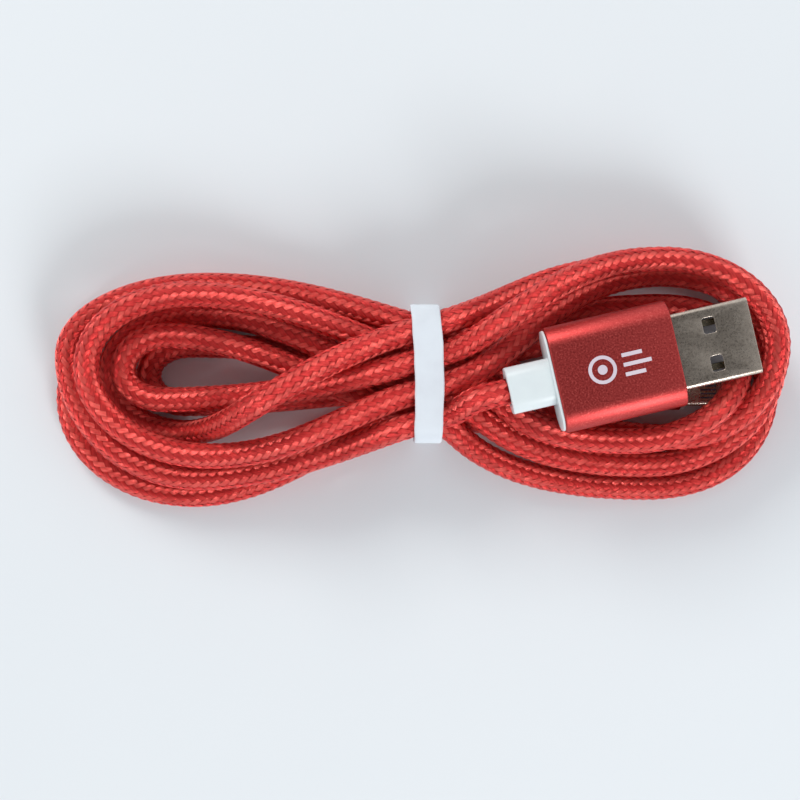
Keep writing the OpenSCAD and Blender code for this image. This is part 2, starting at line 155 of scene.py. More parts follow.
# ------------------------------------------------------------------ cord route
# Sizes in millimetres, as in the source
CORD_D = 4.0                       # over the braid
LOW = CORD_D / 2 - CORD_D / 10     # axis height of a cord that lies on the table
TIE_W, TIE_WALL, FIT = 4.5, 0.9, 0.05
WAIST_X, WAIST_Y, WAIST_HALF, WAIST_STEP, WAIST_SLOPE = 0.8, 0.4, 3.4, 4.95, 0.29
WAIST_PULL, PLUG_PULL = 0.25, 0.2  # how long the cord's ends keep their direction
LAYER_STEP = 4.95
LAYER_Z = [TIE_WALL + CORD_D / 2 + FIT + k * LAYER_STEP for k in range(3)]
LAYER_SLOPE = [0, -WAIST_SLOPE, WAIST_SLOPE]
USB_TURN = math.radians(13)
USB_AT, TAB_AT = (13.5, -2.4, 16.0), (21.0, -1.4, 2.7)       # where the cord enters the plugs
USB_SLOT, TAB_SLOT = (2, 3), (0, 2)                          # where its ends leave the waist
USB_DIR = (math.cos(USB_TURN), math.sin(USB_TURN), 0.0)
TAB_DIR = (1.0, 0.0, 0.0)
LEFT, RIGHT = -1, 1
# Half loops in the order in which the cord runs through them. Each row has the side, whether it
# is entered from its upper run, the layer and slot of the waist where its upper and its lower run
# end, then its top, reach and bottom in X and Y, the seven heights from the upper run round to
# the lower one, how full both runs are, how long both keep their direction after the waist, and
# how full the round end is.
LOOPS = [
    (LEFT, 0, (1, 0), (2, 3), (-34.6, 15), (-57.7, 3.5), (-36.2, -16.5),
     [7, 6.9, 6.9, 6.9, 6.3, 5.9, 7.2], (0.42, 0.42), (0.25, 0.2), 0.56),
    (RIGHT, 0, (2, 1), (1, 0), (38.4, 18.7), (56.9, 5), (41, -9.8),
     [17, 11.7, 11.6, 11.6, 10.4, 8.1, 7.2], (0.5, 0.68), (0.24, 0.42), 0.56),
    (LEFT, 0, (1, 3), (2, 1), (-41.5, 6.8), (-48.8, 1.2), (-42, -3.7),
     [6.4, 6.6, 6.6, 6.6, 6.6, 6.6, 10.6], (0.36, 0.42), (0.25, 0.25), 0.56),
    (RIGHT, 0, (2, 0), (1, 3), (37.6, 18.6), (57.9, -1), (37.6, -18.4),
     [5.6, LOW, LOW, LOW, LOW, LOW, 4.4], (0.5, 0.8), (0.28, 0.06), 0.62),
    (LEFT, 0, (1, 2), (2, 0), (-37, 10.4), (-51.9, 0.5), (-39, -9.1),
     [6.5, 3.1, 2.3, LOW, LOW, 4.2, 18.4], (0.42, 0.3), (0.3, 0.5), 0.56),
    (RIGHT, 0, (2, 2), (1, 2), (39.5, 16.8), (57.8, 3), (36.8, -14.4),
     [11, 6.8, 6.8, 6.6, 6, 5, 6.8], (0.5, 0.74), (0.34, 0.18), 0.56),
    (LEFT, 0, (1, 1), (2, 2), (-37, 13.2), (-53.8, 1.5), (-33.7, -12.8),
     [10.8, 11.4, 11.4, 10.5, 9.4, 9.5, 13.4], (0.42, 0.42), (0.2, 0.3), 0.56),
    (RIGHT, 0, (0, 0), (1, 1), (39, 11.6), (51.9, 5), (33, -10.3),
     [4.5, 6.2, 6.8, 8.2, 13.8, 12.4, 9.4], (0.42, 0.76), (0.25, 0.38), 0.56),
    (LEFT, 1, (0, 0), (0, 3), (-37, 15.4), (-58.8, -3.5), (-37.8, -19.6),
     [2, LOW, LOW, LOW, LOW, LOW, LOW], (0.42, 0.42), (0.25, 0.25), 0.56),
    (RIGHT, 0, (0, 1), (0, 3), (40, 8.2), (53.2, -1.2), (40, -10.2),
     [LOW] * 7, (0.42, 0.42), (0.25, 0.4), 0.75),
    (LEFT, 1, (0, 1), (0, 2), (-38.5, 5.4), (-45.5, 0.4), (-39.5, -4.4),
     [LOW] * 7, (0.42, 0.42), (0.25, 0.25), 0.56),
]


def bezier(a, b, c, d, t):
    t = np.asarray(t, float)[:, None]
    a, b, c, d = (np.asarray(v, float) for v in (a, b, c, d))
    return (1 - t) ** 3 * a + 3 * (1 - t) ** 2 * t * b + 3 * (1 - t) * t * t * c + t ** 3 * d


def slot_point(side, at):
    """The place of a slot of the waist at the tie's left or right mouth."""
    layer, k = at
    return np.array([WAIST_X + side * WAIST_HALF,
                     WAIST_Y + (1.5 - k) * WAIST_STEP + LAYER_SLOPE[layer] * side * WAIST_HALF])


def height_at(h, u):
    """Heights between the stations h, without overshoot."""
    slopes = [0.0] * len(h)
    for i in range(1, len(h) - 1):
        a, b = h[i] - h[i - 1], h[i + 1] - h[i]
        slopes[i] = 0 if a * b <= 0 else 2 * a * b / (a + b)
    out = []
    for v in np.asarray(u) * (len(h) - 1):
        i = min(int(v), len(h) - 2)
        f = v - i
        out.append((2 * f ** 3 - 3 * f * f + 1) * h[i] + (f ** 3 - 2 * f * f + f) * slopes[i]
                   + (3 * f * f - 2 * f ** 3) * h[i + 1] + (f ** 3 - f * f) * slopes[i + 1])
    return np.array(out)


def half_loop(row, n):
    side, entered_up, upper, lower, top, reach, bottom, heights, full, pull, bend = row
    p, q = slot_point(side, upper), slot_point(side, lower)
    top, reach, bottom = (np.array(v, float) for v in (top, reach, bottom))
    t = np.arange(n) / n
    back = 1 - t

    def run(a, slope, b, fullness, keep, steps):
        d = abs(b[0] - a[0])
        return bezier(a, a + side * d * keep * np.array([1, slope]),
                      b - np.array([side * d * fullness, 0]), b, steps)

    def round_end(a, b, steps):
        return bezier(a, a + np.array([(b[0] - a[0]) * bend, 0]),
                      b + np.array([0, (a[1] - b[1]) * bend]), b, steps)

    flat = np.concatenate([
        run(p, LAYER_SLOPE[upper[0]], top, full[0], pull[0], t),
        round_end(top, reach, t),
        round_end(bottom, reach, back),
        run(q, LAYER_SLOPE[lower[0]], bottom, full[1], pull[1], np.append(back, 0))])
    z = height_at([LAYER_Z[upper[0]]] + heights + [LAYER_Z[lower[0]]],
                  np.linspace(0, 1, len(flat)))
    path = np.column_stack([flat, z])
    return path if entered_up else path[::-1]


def end_run(at, slot, direction, n):
    """From the waist to a plug, which the cord enters straight."""
    flat = slot_point(RIGHT, slot)
    p = np.array([flat[0], flat[1], LAYER_Z[slot[0]]])
    at, direction = np.array(at), np.array(direction)
    d = np.linalg.norm(at - p)
    straight = at - CORD_D * direction
    return np.vstack([bezier(p, p + d * WAIST_PULL * np.array([1, LAYER_SLOPE[slot[0]], 0]),
                             straight - d * PLUG_PULL * direction, straight, np.arange(n) / n),
                      straight, at])


def cord_route(n):
    parts = [end_run(USB_AT, USB_SLOT, USB_DIR, n)[::-1]]
    parts += [half_loop(row, n) for row in LOOPS]
    parts.append(end_run(TAB_AT, TAB_SLOT, TAB_DIR, n))
    return np.vstack(parts) + np.array(SHIFT)


def evenly(points, step):
    """The same way in equal steps, and how far along it each point lies."""
    keep = np.append(True, np.linalg.norm(np.diff(points, axis=0), axis=1) > 1e-6)
    points = points[keep]
    s = np.append(0, np.cumsum(np.linalg.norm(np.diff(points, axis=0), axis=1)))
    t = np.linspace(0, s[-1], int(round(s[-1] / step)) + 1)
    return np.column_stack([np.interp(t, s, points[:, k]) for k in range(3)]), t


RUN_POINTS, ROUTE_STEP, EASINGS = 24, 0.5, 3
route, along = evenly(cord_route(RUN_POINTS), ROUTE_STEP)
for _ in range(EASINGS):           # eases the joints between the curves
    route[2:-2] = (route[1:-3] + 2 * route[2:-2] + route[3:-1]) / 4
tangent = np.gradient(route, axis=0)
tangent /= np.linalg.norm(tangent, axis=1)[:, None]
across = np.cross([0, 0, 1], tangent)
across /= np.linalg.norm(across, axis=1)[:, None]
upward = np.cross(tangent, across)
PRESSED = 0.6                      # height below which the cord is pressed a little flat


def on_cord(s, angle, radius):
    """Points on the cord at a way along it, an angle round it and a distance from its axis."""
    def read(v):
        return np.column_stack([np.interp(s, along, v[:, k]) for k in range(3)])
    p = read(route) + radius[:, None] * (np.sin(angle)[:, None] * read(across)
                                         + np.cos(angle)[:, None] * read(upward))
    z = p[:, 2]
    p[:, 2] = np.where(z < PRESSED, PRESSED * np.exp(np.minimum(z - PRESSED, 0) / PRESSED), z)
    return p


def mesh_object(name, points, faces, uv=None):
    """A mesh of points in millimetres, with the yarn map if one is given."""
    mesh = bpy.data.meshes.new(name)
    mesh.from_pydata((points * MM).tolist(), [], faces)
    if uv is not None:
        layer = mesh.uv_layers.new(name="yarn")
        order = np.array([loop.vertex_index for loop in mesh.loops])
        layer.data.foreach_set("uv", uv[order].ravel())
    mesh.update()
    piece = bpy.data.objects.new(name, mesh)
    bpy.context.scene.collection.objects.link(piece)
    return piece


# ------------------------------------------------------------------ braid
BRAID_R = 2.1                      # crest of the yarns
COLUMNS = 12                       # columns of floats, leaning in turn to either side
PITCH = 1.55                       # step of the floats along the cord
ACROSS_STEPS = np.array([0.0, 0.5, 1.0])
ALONG_STEPS = np.array([-0.2, 0.3, 1.0, 1.7, 2.2])
HALF_FLOAT = 1.2                   # half a float's length, in steps
DIP, DIP_POWER = 0.22, 2.4         # how far and how late a float's ends dive under the next ones
CROWN = 0.09                       # how far a float's edges lie below its middle
LIFT, UNEVEN = 0.02, 0.03          # what all floats rise, and how much one differs from another
TWIST_TURN, SWAY, SWAY_WAY = 520, 0.11, 47   # the cord's slow twist, and how it varies
END_FREE = 0.3                     # length without floats at both ends
SECOND_FAMILY = 20000              # added on the yarn map of floats that lean to the other side
CORE_DEPTH = 0.2                   # how far the yarn below lies under the crests


def twist(s):
    return 2 * np.pi * (s / TWIST_TURN + SWAY * np.sin(s / SWAY_WAY))


def braid():
    """Every float of the braid as its own curved ribbon."""
    length = along[-1]
    rows = int(length / PITCH)
    p, q = np.meshgrid(ACROSS_STEPS, ALONG_STEPS, indexing="ij")
    p, q = p.ravel(), q.ravel()
    floats = np.array([(family, m, 2 * m - k) for family in (0, 1)
                       for m in range(COLUMNS // 2) for k in range(-1, rows + 3)])
    fam, m, i = (floats[:, c][:, None] for c in range(3))
    start = 4 * m + 2 * fam - i
    a = np.where(fam == 0, i + p, i + q)
    b = np.where(fam == 0, start + q, start + p)
    turn = (a + b) / 2
    s = (b - a) / 2 * PITCH
    middle = s.mean(axis=1)
    inside = (middle > END_FREE) & (middle < length - END_FREE)
    seed = (np.sin(i * 12.9898 + fam * 78.233) * 43758.5453) % 1
    radius = (BRAID_R + LIFT - DIP * np.abs((q - 1) / HALF_FLOAT) ** DIP_POWER
              - CROWN * (2 * p - 1) ** 2 + UNEVEN * (seed - 0.5) + np.zeros_like(s))
    s, turn, radius, fam = np.clip(s[inside], 0, length), turn[inside], radius[inside], fam[inside]
    n = len(s)
    angle = turn / COLUMNS * 2 * np.pi + twist(s)
    points = on_cord(s.ravel(), angle.ravel(), radius.ravel())
    uv = np.column_stack([(np.arange(n)[:, None] + SECOND_FAMILY * fam + p).ravel(),
                          np.tile(q, n)])
    cols = len(ALONG_STEPS)
    quads = np.array([(r * cols + c, r * cols + c + 1, (r + 1) * cols + c + 1, (r + 1) * cols + c)
                      for r in range(len(ACROSS_STEPS) - 1) for c in range(cols - 1)])
    faces = (np.arange(n) * len(p))[:, None, None] + np.where(
        fam[:, :, None] == 0, quads[None], quads[None][:, :, ::-1])
    return mesh_object("cord_braid", points, faces.reshape(-1, 4).tolist(), uv)


def cord_core():
    """The yarn below the floats, as one closed tube."""
    sides, step = 12, 1.6
    s = np.linspace(0, along[-1], int(along[-1] / step))
    ring = np.arange(sides) / sides * 2 * np.pi
    count = len(s) * sides
    points = on_cord(np.repeat(s, sides), np.tile(ring, len(s)),
                     np.full(count, BRAID_R - CORE_DEPTH))
    faces = [(r * sides + c, (r + 1) * sides + c, (r + 1) * sides + (c + 1) % sides,
              r * sides + (c + 1) % sides) for r in range(len(s) - 1) for c in range(sides)]
    faces += [tuple(range(sides)), tuple(range(count - 1, count - sides - 1, -1))]
    return mesh_object("cord_core", points, faces)


cord = braid()
core = cord_core()


# ------------------------------------------------------------------ materials
def braid_finish():
    """The yarn map has a float's number and the way across it in u, and the way along it in v."""
    f = Finish("braided_yarn", Metallic=0.72, Roughness=0.3, Specular_IOR_Level=0.2)
    uv = f.node("ShaderNodeUVMap", {"uv_map": "yarn"})
    u = f.node("ShaderNodeSeparateXYZ", {}, uv)
    v = Value(f, u.socket.node.outputs[1])
    ribbon = u.math("FLOOR")
    edge = (u.math("FRACT") - 0.5).math("ABSOLUTE") * 2.0
    chance = f.node("ShaderNodeTexWhiteNoise", {"noise_dimensions": "1D"}, W=ribbon)
    fibre = f.node("ShaderNodeTexNoise", {"noise_dimensions": "2D"},
                   Vector=f.node("ShaderNodeVectorMath", {"operation": "MULTIPLY"}, uv,
                                 (9.0, 0.55, 1.0)), Scale=1.0, Detail=2.0)
    strands = (u * 38.0 + fibre * 2.5).math("SINE")
    # Painted sheen and shade: the floats of the first family are painted lighter, and those that
    # lean to the other side darker, as light falls on them.
    leaning = f.ramp(u, SECOND_FAMILY - 1000.0, SECOND_FAMILY - 900.0)
    shade = f.ramp(fibre, 0.3, 0.7)
    light = f.mix(shade, (1.0, 0.112, 0.094, 1), (1.0, 0.175, 0.145, 1))
    deep = f.mix(shade, (0.70, 0.048, 0.045, 1), (0.90, 0.082, 0.072, 1))
    base = f.mix(leaning, light, deep)
    base = f.mix(f.ramp(chance, 0.0, 1.0, 0.0, 0.4), base, (0.58, 0.028, 0.030, 1))
    # Painted shade: the floats are darkened towards their ends, where they dive under the next
    # ones, and towards their edges, where they meet their neighbours.
    ends = f.ramp((v - 1.0).math("ABSOLUTE"), 0.98, 1.2, 0.0, 0.5)
    painted_gap_shade = ends + f.ramp(edge, 0.7, 1.0, 0.0, 0.35)
    base = f.mix(painted_gap_shade.math("MINIMUM", 0.6), base, (0.46, 0.026, 0.026, 1))
    height = strands * 0.5 + fibre * 0.1
    return f.set(Base_Color=base, Normal=f.bump(height, 0.00006, 1.0),
                 Roughness=f.ramp(fibre, 0.25, 0.75, 0.28, 0.38))


# The yarn below the floats is coloured darker than they are: painted shade in the gaps between
# them.
def core_finish():
    f = Finish("shaded_yarn_below", Roughness=0.9, Specular_IOR_Level=0.05)
    tone = f.noise(2600.0)
    return f.set(Base_Color=f.mix(tone, (0.36, 0.012, 0.014, 1), (0.55, 0.024, 0.024, 1)))


def anodised_finish():
    f = Finish("red_anodised_aluminium", Metallic=1.0, Roughness=0.4)
    grain = f.noise(3600.0, 3, 0.7)
    cloud = f.noise(60.0, 2)
    base = f.mix(f.ramp(cloud, 0.3, 0.7), (0.52, 0.064, 0.060, 1), (0.56, 0.073, 0.068, 1))
    base = f.mix(f.ramp(grain, 0.54, 0.34, 0.0, 0.55), base, (0.40, 0.036, 0.038, 1))
    base = f.mix(f.ramp(grain, 0.54, 0.70, 0.0, 0.3), base, (0.95, 0.26, 0.22, 1))
    return f.set(Base_Color=base, Roughness=f.ramp(grain, 0.3, 0.7, 0.38, 0.52),
                 Normal=f.bump(grain, 0.00004, 0.6))


def plastic_finish(name, pale, shade, rough=0.34, grain_scale=5200.0):
    f = Finish(name, Roughness=rough, Specular_IOR_Level=0.5)
    cloud = f.noise(160.0, 4)
    grain = f.noise(grain_scale, 2)
    return f.set(Base_Color=f.mix(f.ramp(cloud, 0.3, 0.75), pale, shade),
                 Roughness=f.ramp(cloud, 0.3, 0.7, rough - 0.05, rough + 0.08),
                 Normal=f.bump(grain, 0.00002, 0.3))


def metal_finish(name, tone, deep, rough=0.3, fleck=0.3):
    f = Finish(name, Metallic=1.0, Roughness=rough)
    grain = f.noise(4200.0, 3, 0.6)
    coarse = f.noise(1500.0, 4, 0.7)
    base = f.mix(f.ramp(coarse, 0.35, 0.7), tone, deep)
    base = f.mix(f.ramp(grain, 0.52, 0.7, 0.0, fleck), base,
                 tuple(c * 0.5 for c in deep[:3]) + (1,))
    return f.set(Base_Color=base,
                 Roughness=f.ramp(grain, 0.3, 0.7, rough - 0.06, rough + 0.08),
                 Normal=f.bump(grain + coarse, 0.000012, 0.5))


braid_yarn = braid_finish()
shaded_yarn_below = core_finish()
anodised = anodised_finish()
white_plastic = plastic_finish("white_moulding", (0.72, 0.79, 0.80, 1), (0.67, 0.735, 0.75, 1))
tie_rubber = plastic_finish("white_elastomer", (0.70, 0.75, 0.80, 1), (0.64, 0.68, 0.73, 1),
                            0.55, 3200.0)
pale_plastic = plastic_finish("lilac_grey_plastic", (0.62, 0.62, 0.68, 1), (0.54, 0.54, 0.60, 1))
dark_plastic = plastic_finish("dark_plastic", (0.045, 0.055, 0.085, 1), (0.03, 0.035, 0.055, 1))
print_ink = plastic_finish("pale_print", (0.66, 0.58, 0.64, 1), (0.58, 0.50, 0.57, 1), 0.5)
nickel = metal_finish("satin_nickel", (0.63, 0.545, 0.46, 1), (0.49, 0.415, 0.345, 1), 0.3, 0.45)
# Gold plate dimmed to brown: painted shade, for contacts that lie in the shadow of the shell and
# the sleeves.
shade_dimmed_gold = metal_finish("shade_dimmed_gold_plate", (0.52, 0.44, 0.30, 1), (0.36, 0.31, 0.24, 1))
tin = metal_finish("tin_solder", (0.72, 0.72, 0.74, 1), (0.6, 0.6, 0.62, 1), 0.24, 0.15)
grey_jacket = plastic_finish("grey_inner_jacket", (0.30, 0.31, 0.33, 1), (0.25, 0.26, 0.28, 1))
board_green = plastic_finish("circuit_board", (0.02, 0.16, 0.06, 1), (0.015, 0.11, 0.045, 1))
insulation = {
    "red": plastic_finish("red_insulation", (0.55, 0.02, 0.02, 1), (0.42, 0.015, 0.02, 1)),
    "black": plastic_finish("black_insulation", (0.03, 0.03, 0.03, 1), (0.02, 0.02, 0.022, 1)),
    "white": plastic_finish("white_insulation", (0.8, 0.8, 0.8, 1), (0.7, 0.7, 0.72, 1)),
    "green": plastic_finish("green_insulation", (0.02, 0.3, 0.06, 1), (0.015, 0.22, 0.05, 1)),
}


def paint(piece, material):
    piece.data.materials.clear()
    piece.data.materials.append(material)


def dress(piece, material):
    paint(piece, material)
    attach(piece, "root")


CAD_FINISH = {
    "usb_tongue": pale_plastic, "usb_contact_block": pale_plastic, "usb_contacts": shade_dimmed_gold,
    "usb_solder_joints": tin, "usb_inner_jacket": grey_jacket, "tab_inner_jacket": grey_jacket,
    "tab_contacts": shade_dimmed_gold, "tab_solder_joints": tin, "tab_insert": dark_plastic,
    "tab_board": board_green, "tab_chip": dark_plastic,
    "cable": braid_yarn, "tie_band": tie_rubber, "usb_sleeve": anodised, "tab_sleeve": anodised,
    "usb_moulding": white_plastic, "tab_moulding": white_plastic, "usb_shell": nickel,
    "tab_frame": nickel,
}
for plug in ("usb", "tab"):
    for colour, finish in insulation.items():
        CAD_FINISH[f"{plug}_{colour}_wire"] = finish
for node, finish in CAD_FINISH.items():
    paint(bpy.data.objects[node], finish)

for piece, finish in ((cord, braid_yarn), (core, shaded_yarn_below)):
    for face in piece.data.polygons:
        face.use_smooth = True
    dress(piece, finish)
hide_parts("cable")


# ------------------------------------------------------------------ modelling by hand
# Pieces are made along X about their own axis, in millimetres, and put in place at the end.
ROUND = dict(affect="EDGES", profile=0.5)
SHARP = 0.7                        # an edge that turns more than this, in radians, is a rim
PAST = 1                           # how far a cutter stands out of what it cuts


def select(piece):
    if bpy.context.object and bpy.context.object.mode != "OBJECT":
        bpy.ops.object.mode_set(mode="OBJECT")
    bpy.ops.object.select_all(action="DESELECT")
    if piece:
        piece.select_set(True)
        bpy.context.view_layer.objects.active = piece


def start_edit(piece):
    select(piece)
    bpy.ops.object.mode_set(mode="EDIT")


def end_edit():
    bpy.ops.object.mode_set(mode="OBJECT")


def pick(piece, faces=None, edges=None):
    """In edit mode, selects the faces or the edges for which the test holds."""
    bpy.ops.mesh.select_all(action="DESELECT")
    bpy.ops.mesh.select_mode(type="FACE" if faces else "EDGE")
    shape = bmesh.from_edit_mesh(piece.data)
    for item in shape.faces if faces else shape.edges:
        if (faces or edges)(item):
            item.select_set(True)
    shape.select_flush_mode()
    bmesh.update_edit_mesh(piece.data)


def round_off(width, steps):
    bpy.ops.mesh.bevel(offset=width * MM, segments=steps, **ROUND)


def modifier(piece, kind, **settings):
    select(piece)
    made = piece.modifiers.new(kind, kind)
    for key, value in settings.items():
        setattr(made, key, value)
    bpy.ops.object.modifier_apply(modifier=made.name)


def settle(piece):
    bpy.ops.object.transform_apply(location=True, rotation=True, scale=True)
    return piece


def finish_shape(piece, angle=40):
    select(piece)
    settle(piece)
    bpy.ops.object.shade_smooth_by_angle(angle=math.radians(angle))


def block(name, a, b, w, t, y=0.0, z=0.0):
    """A box from x = a to x = b, w wide and t thick, about the point y, z."""
    select(None)
    bpy.ops.mesh.primitive_cube_add(size=1, location=((a + b) / 2 * MM, y * MM, z * MM))
    piece = bpy.context.object
    piece.name = piece.data.name = name
    piece.scale = ((b - a) * MM, w * MM, t * MM)
    return settle(piece)


def rod(name, a, b, d, sides=48):
    """A cylinder from x = a to x = b."""
    select(None)
    bpy.ops.mesh.primitive_cylinder_add(vertices=sides, radius=d / 2 * MM, depth=(b - a) * MM,
                                        location=((a + b) / 2 * MM, 0, 0),
                                        rotation=(0, math.pi / 2, 0))
    piece = bpy.context.object
    piece.name = piece.data.name = name
    return settle(piece)


def lies_along_x(edge):
    d = edge.verts[1].co - edge.verts[0].co
    return abs(d.x) > 0.98 * d.length


def lies_along_z(edge):
    return abs((edge.verts[1].co - edge.verts[0].co).normalized().z) > 0.9


def is_end(face):
    return abs(face.normal.x) > 0.95


def is_rim(edge, x):
    """Whether the edge lies in the end face at x and turns sharply there."""
    return (all(abs(v.co.x - x * MM) < 0.01 * MM for v in edge.verts)
            and edge.calc_face_angle(0) > SHARP)


def rounded_bar(name, a, b, w, t, r, steps=10, y=0.0, z=0.0):
    """A bar along X with its four long edges rounded, left in edit mode."""
    piece = block(name, a, b, w, t, y, z)
    start_edit(piece)
    pick(piece, edges=lies_along_x)
    round_off(r, steps)
    return piece


def soft_bar(name, a, b, w, t, r, rear, front, steps=12):
    """A rounded bar whose rims are softened by the widths rear and front."""
    piece = rounded_bar(name, a, b, w, t, r, steps)
    for x, width in ((a, rear), (b, front)):
        if width:
            pick(piece, edges=lambda e: is_rim(e, x))
            round_off(width, 3)
    end_edit()
    return piece


def tube(name, a, b, w, t, r, wall, rear, front, inner, steps):
    """A rounded bar, open from end to end, with softened rims outside and inside."""
    piece = rounded_bar(name, a, b, w, t, r, steps)
    pick(piece, faces=is_end)
    bpy.ops.mesh.inset(thickness=wall * MM, depth=0, use_even_offset=True)
    pick(piece, faces=lambda f: is_end(f) and len(f.verts) > 4)
    bpy.ops.mesh.bridge_edge_loops()

    def is_outer(v):
        y, z = abs(v.co.y), abs(v.co.z)
        return (y > (w / 2 - wall * 0.5) * MM or z > (t / 2 - wall * 0.5) * MM
                or math.hypot(max(y - (w / 2 - r) * MM, 0),
                              max(z - (t / 2 - r) * MM, 0)) > (r - wall * 0.5) * MM)
    for x, width in ((a, rear), (b, front)):
        for outer, size in ((True, width), (False, inner)):
            if size:
                pick(piece, edges=lambda e: is_rim(e, x) and all(
                    is_outer(v) == outer for v in e.verts))
                round_off(size, 3)
    end_edit()
    return piece


def cut(piece, *cutters, operation="DIFFERENCE"):
    for cutter in cutters:
        modifier(piece, "BOOLEAN", operation=operation, object=cutter, solver="EXACT")
        bpy.data.objects.remove(cutter, do_unlink=True)


def put(piece, at, turn=0.0):
    """Moves a finished piece from the plug's own axes to its place in the frame."""
    place = (Matrix.Translation(Vector([(at[k] + SHIFT[k]) * MM for k in range(3)]))
             @ Matrix.Rotation(turn, 4, "Z"))
    piece.data.transform(place)
    piece.data.update()


def fit_out(piece, finish, node, at, turn=0.0):
    """Puts a finished piece in the place of a CAD node."""
    put(piece, at, turn)
    dress(piece, finish)
    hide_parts(node)
    return piece


# ------------------------------------------------------------------ plugs
# Sizes in millimetres, as in the source
USB = dict(w=16.8, t=8.0, l=19.3, r=3.4, wall=0.8, collar_l=6.9, collar_w=7.4, collar_t=6.0,
           rim=0.4, shell_w=12.0, shell_t=4.5, out=12.4, held=6.4, sheet=0.3, recess=0.3,
           room=3.5, bore=12)
TAB = dict(w=8.0, t=5.4, l=17.0, r=2.1, wall=0.5, collar_l=5.0, collar_w=5.8, collar_t=5.2,
           lip=0.8, tab_w=6.7, tab_t=1.5, held=4.0, room=2.5, bore=9)
COLLAR_ROUND = 0.36                # radius of a collar's long edges, as a share of its thickness
BURIED = 0.2                       # how far collar and body run into each other
MOUTH_D, MOUTH_DEEP, BORE_D = CORD_D + 0.5, 1.5, 3.3
WINDOW_BACK, WINDOW_L, WINDOW_W, WINDOW_Y, WINDOW_R = 6.6, 2.0, 2.5, 3.0, 0.42
SHELL_R, SHELL_EDGE, SEAM_W = 0.65, 0.13, 0.06
usb_rear = USB["collar_l"] + USB["rim"]
usb_front = usb_rear + USB["l"]
usb_tip = usb_front + USB["out"]
usb_seat = usb_front - USB["held"]
tab_rear = TAB["collar_l"]
tab_front = tab_rear + TAB["l"]
tab_face = tab_front + TAB["lip"]
tab_seat = tab_face - TAB["held"]

# The printed mark: a ring with a dot, and three plain dashes; it stands for nothing
INK = 0.015
RING_D, RING_HOLE, DOT_D, RING_BACK = 4.4, 3.3, 1.5, 2.4
DASHES, DASH_W, DASH_START = ((-1.5, 3.2), (0, 4.4), (1.5, 3.2)), 0.6, 0.9


def plain_mark(name, x, top):
    ring = rod(name, -INK, INK, RING_D, 64)
    cut(ring, rod("hole", -PAST, PAST, RING_HOLE, 64))
    dot = rod("dot", -INK, INK, DOT_D)
    for piece in (ring, dot):
        piece.data.transform(Matrix.Translation((x * MM - RING_BACK * MM, 0, top * MM))
                             @ Matrix.Rotation(math.pi / 2, 4, "Y"))
    dashes = []
    for y, length in DASHES:
        start = x + DASH_START
        dash = rounded_bar("dash", start, start + length, DASH_W, 2 * INK, 0.001, 1, y, top)
        pick(dash, edges=lies_along_z)
        round_off(DASH_W / 2 - 0.01, 6)
        end_edit()
        dashes.append(dash)
    select(ring)
    for piece in (dot, *dashes):
        piece.select_set(True)
    bpy.ops.object.join()
    finish_shape(ring)
    return ring


def filling(plug):
    """Width and thickness of what fills a plug's sleeve, and its radius."""
    return (plug["w"] - 2 * plug["wall"] - 2 * FIT, plug["t"] - 2 * plug["wall"] - 2 * FIT,
            plug["r"] - plug["wall"] - FIT)


def collar(name, plug, rear):
    return soft_bar(name, 0, plug["collar_l"] + BURIED, plug["collar_w"], plug["collar_t"],
                    plug["collar_t"] * COLLAR_ROUND, rear, 0)


def hollow_out(body, plug, seat, face, w, t, r, steps, room_w, room_t):
    """Cuts the seat of the metal, the room of the wires, and the cord's mouth and bore."""
    slot = soft_bar("slot", seat, face + PAST, w + 2 * FIT, t + 2 * FIT, r, 0, 0, steps)
    room = block("room", plug["collar_l"] + plug["room"], seat + PAST, room_w, room_t)
    cut(body, slot, room, rod("mouth", -PAST, MOUTH_DEEP, MOUTH_D),
        rod("bore", -PAST, plug["bore"], BORE_D))
    finish_shape(body, 35)


def make_usb():
    sleeve = tube("usb_plug_sleeve", usb_rear, usb_front, USB["w"], USB["t"], USB["r"],
                  USB["wall"], 0.25, 0.25, 0.12, 14)
    finish_shape(sleeve)

    core_w, core_t, core_r = filling(USB)
    flange = soft_bar("usb_flange", USB["collar_l"], usb_rear - FIT, USB["w"] - 0.8,
                      USB["t"] - 0.8, USB["r"] - 0.4, 0.15, 0)
    body = soft_bar("usb_white_moulding", USB["collar_l"] + FIT, usb_front - USB["recess"],
                    core_w, core_t, core_r, 0, 0)
    cut(body, flange, collar("usb_collar", USB, 0.25), operation="UNION")
    hollow_out(body, USB, usb_seat, usb_front, USB["shell_w"], USB["shell_t"], 0.7, 5,
               USB["shell_w"] - 1.2, core_t - 1.6)

    shell = tube("usb_metal_shell", usb_seat, usb_tip, USB["shell_w"], USB["shell_t"], SHELL_R,
                 USB["sheet"], 0, 0.1, 0.08, 6)
    for y in (-WINDOW_Y, WINDOW_Y):
        window = block("window", usb_tip - WINDOW_BACK - WINDOW_L / 2,
                       usb_tip - WINDOW_BACK + WINDOW_L / 2, WINDOW_W, 2 * USB["shell_t"], y)
        start_edit(window)
        pick(window, edges=lies_along_z)
        round_off(WINDOW_R, 6)
        cut(shell, window)
    cut(shell, block("seam", usb_seat - PAST, usb_tip + PAST, SEAM_W, 1.0, 0,
                     -USB["shell_t"] / 2))
    modifier(shell, "BEVEL", width=SHELL_EDGE * MM, segments=3, limit_method="ANGLE",
             angle_limit=math.radians(50))
    finish_shape(shell)

    mark = plain_mark("usb_sleeve_mark", usb_rear + USB["l"] / 2, USB["t"] / 2)
    put(mark, USB_AT, USB_TURN)
    dress(mark, print_ink)
    return [fit_out(piece, finish, node, USB_AT, USB_TURN)
            for piece, finish, slot, node in (
                (sleeve, anodised, "anodised", "usb_sleeve"),
                (body, white_plastic, "white_plastic", "usb_moulding"),
                (shell, nickel, "steel", "usb_shell"))]


